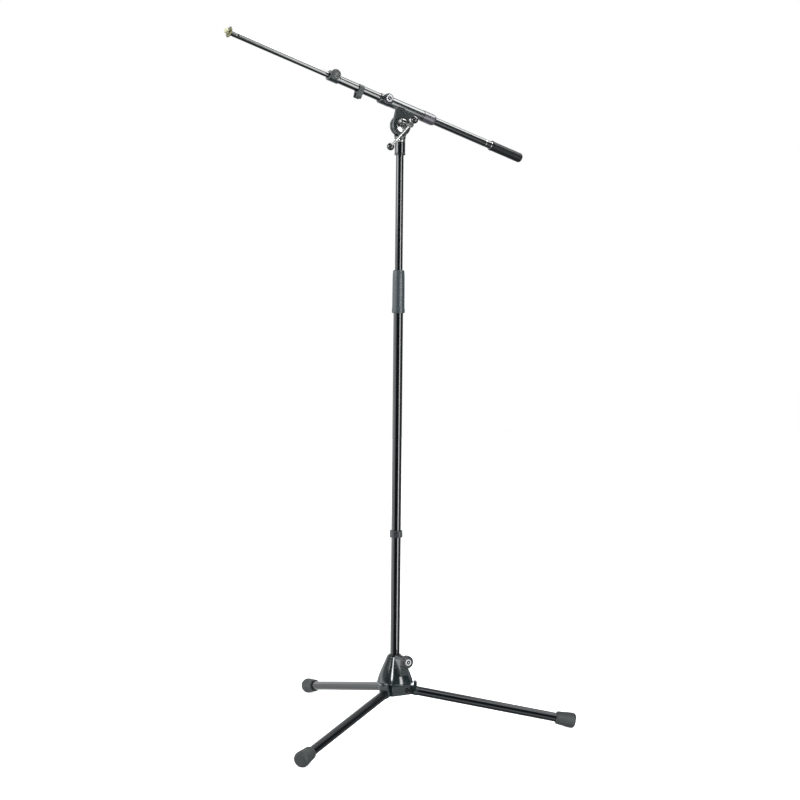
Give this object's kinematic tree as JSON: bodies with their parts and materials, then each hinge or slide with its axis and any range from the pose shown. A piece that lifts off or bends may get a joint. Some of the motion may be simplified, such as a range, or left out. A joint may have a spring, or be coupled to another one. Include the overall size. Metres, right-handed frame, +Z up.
{
  "type": "boom microphone stand",
  "caption": "Folding tripod floor stand with a telescoping upright and a tilting, sliding, telescoping boom that carries a microphone clip at its tip.",
  "frame": {"origin": "on the floor, under the axis of the upright", "axes": "+Z up along the upright; the boom lies in the XZ plane with its tip towards -X, raised 17.4 degrees; the hand controls face -Y; the legs point to -30, 90 and 210 degrees about +Z"},
  "size_m": [0.654, 0.5189, 1.2648],
  "materials": {
    "tube_black": "gloss black enamel on steel tube",
    "cast_black": "satin black enamel on die-cast metal",
    "pin_black": "black pins and screw",
    "inner_plastic": "black moulded",
    "clutch_plastic": "satin blue-grey moulded",
    "knob_plastic": "moulded charcoal grey",
    "clip_plastic": "moulded charcoal grey",
    "rubber": "matte charcoal",
    "chrome": "bright plated",
    "ball_black": "polished black",
    "zinc": "yellowish zinc plate",
    "cap_silver": "satin silver"
  },
  "bodies": {
    "base": {"base_casting": "cast_black", "base_bush": "inner_plastic", "leg_right_pin": "pin_black", "leg_rear_pin": "pin_black", "leg_left_pin": "pin_black"},
    "leg_right": {"leg_right_knuckle": "cast_black", "leg_right_tube": "tube_black", "leg_right_foot": "rubber"},
    "leg_rear": {"leg_rear_knuckle": "cast_black", "leg_rear_tube": "tube_black", "leg_rear_foot": "rubber"},
    "leg_left": {"leg_left_knuckle": "cast_black", "leg_left_tube": "tube_black", "leg_left_foot": "rubber"},
    "base_knob": {"base_knob": "knob_plastic", "base_knob_screw": "chrome", "base_knob_cap": "cap_silver"},
    "upright": {"lower_tube": "tube_black", "lower_tube_plug": "inner_plastic", "stop_ring": "inner_plastic", "stop_ring_screw": "pin_black", "clutch_collet": "inner_plastic"},
    "clutch": {"clutch_grip": "clutch_plastic"},
    "upper_tube": {"upper_tube": "tube_black", "upper_tube_bush": "inner_plastic", "upper_tube_stud": "zinc"},
    "head": {"head_ring": "inner_plastic", "head_collar": "tube_black", "head_shoulder": "chrome", "head_lug": "cast_black", "friction_disc": "inner_plastic", "pivot_nut": "chrome"},
    "boom_mount": {"boom_yoke": "cast_black", "mount_clamp_body": "cast_black", "sleeve_rear_bush": "tube_black", "pivot_washer": "chrome"},
    "t_screw": {"t_screw": "pin_black"},
    "t_bar": {"t_bar_rod": "chrome", "t_bar_ball_upper": "ball_black", "t_bar_ball_lower": "ball_black"},
    "mount_clamp_knob": {"mount_clamp_knob": "knob_plastic", "mount_clamp_screw": "chrome", "mount_clamp_cap": "cap_silver"},
    "boom_outer": {"boom_outer_tube": "tube_black", "tip_clamp_body": "cast_black", "boom_grip": "rubber", "boom_grip_ring": "cap_silver"},
    "tip_clamp_knob": {"tip_clamp_knob": "knob_plastic", "tip_clamp_screw": "chrome"},
    "boom_inner": {"boom_inner_tube": "tube_black", "boom_inner_bush": "inner_plastic", "tip_stud": "zinc", "tip_lock_ring": "zinc"},
    "cable_clip": {"cable_clip": "clip_plastic"}
  },
  "joints": [
    {"name": "leg_right_fold", "type": "hinge", "parent": "base", "child": "leg_right", "pos_m": [0.02061, -0.0119, 0.07214], "axis": [0.5, 0.866, 0], "range_deg": [0, 79]},
    {"name": "leg_rear_fold", "type": "hinge", "parent": "base", "child": "leg_rear", "pos_m": [0, 0.0238, 0.07214], "axis": [-1, 0, 0], "range_deg": [0, 79]},
    {"name": "leg_left_fold", "type": "hinge", "parent": "base", "child": "leg_left", "pos_m": [-0.02061, -0.0119, 0.07214], "axis": [0.5, -0.866, 0], "range_deg": [0, 79]},
    {"name": "base_knob_turn", "type": "hinge", "parent": "base", "child": "base_knob", "pos_m": [0, -0.0416, 0.13], "axis": [0, -1, 0], "range_deg": [0, 720]},
    {"name": "upright_in_base", "type": "slide", "parent": "base", "child": "upright", "axis": [0, 0, 1], "range_m": [-0.216, 0]},
    {"name": "clutch_twist", "type": "hinge", "parent": "upright", "child": "clutch", "pos_m": [0, 0, 0.81], "axis": [0, 0, 1], "range_deg": [0, 120]},
    {"name": "upper_tube_height", "type": "slide", "parent": "upright", "child": "upper_tube", "axis": [0, 0, 1], "range_m": [-0.205, 0.49]},
    {"name": "head_swivel", "type": "hinge", "parent": "upper_tube", "child": "head", "pos_m": [0, 0, 1.07], "axis": [0, 0, 1], "continuous": true},
    {"name": "boom_tilt", "type": "hinge", "parent": "head", "child": "boom_mount", "pos_m": [0, 0, 1.111], "axis": [0, 1, 0], "range_deg": [-107, 72]},
    {"name": "t_screw_turn", "type": "hinge", "parent": "head", "child": "t_screw", "pos_m": [0, -0.0345, 1.111], "axis": [0, -1, 0], "range_deg": [0, 720]},
    {"name": "t_bar_slide", "type": "slide", "parent": "t_screw", "child": "t_bar", "axis": [0.7071, 0, 0.7071], "range_m": [0, 0.0452]},
    {"name": "mount_clamp_turn", "type": "hinge", "parent": "boom_mount", "child": "mount_clamp_knob", "pos_m": [-0.03468, -0.016, 1.1575], "axis": [0, -1, 0], "range_deg": [0, 720]},
    {"name": "boom_balance_slide", "type": "slide", "parent": "boom_mount", "child": "boom_outer", "axis": [-0.9542, 0, 0.299], "range_m": [-0.03, 0.12]},
    {"name": "tip_clamp_turn", "type": "hinge", "parent": "boom_outer", "child": "tip_clamp_knob", "pos_m": [-0.14414, -0.016, 1.19411], "axis": [0, -1, 0], "range_deg": [0, 720]},
    {"name": "boom_reach_slide", "type": "slide", "parent": "boom_outer", "child": "boom_inner", "axis": [-0.9542, 0, 0.299], "range_m": [-0.195, 0.12]},
    {"name": "cable_clip_slide", "type": "slide", "parent": "boom_outer", "child": "cable_clip", "axis": [-0.9542, 0, 0.299], "range_m": [-0.006, 0.035]}
  ]
}
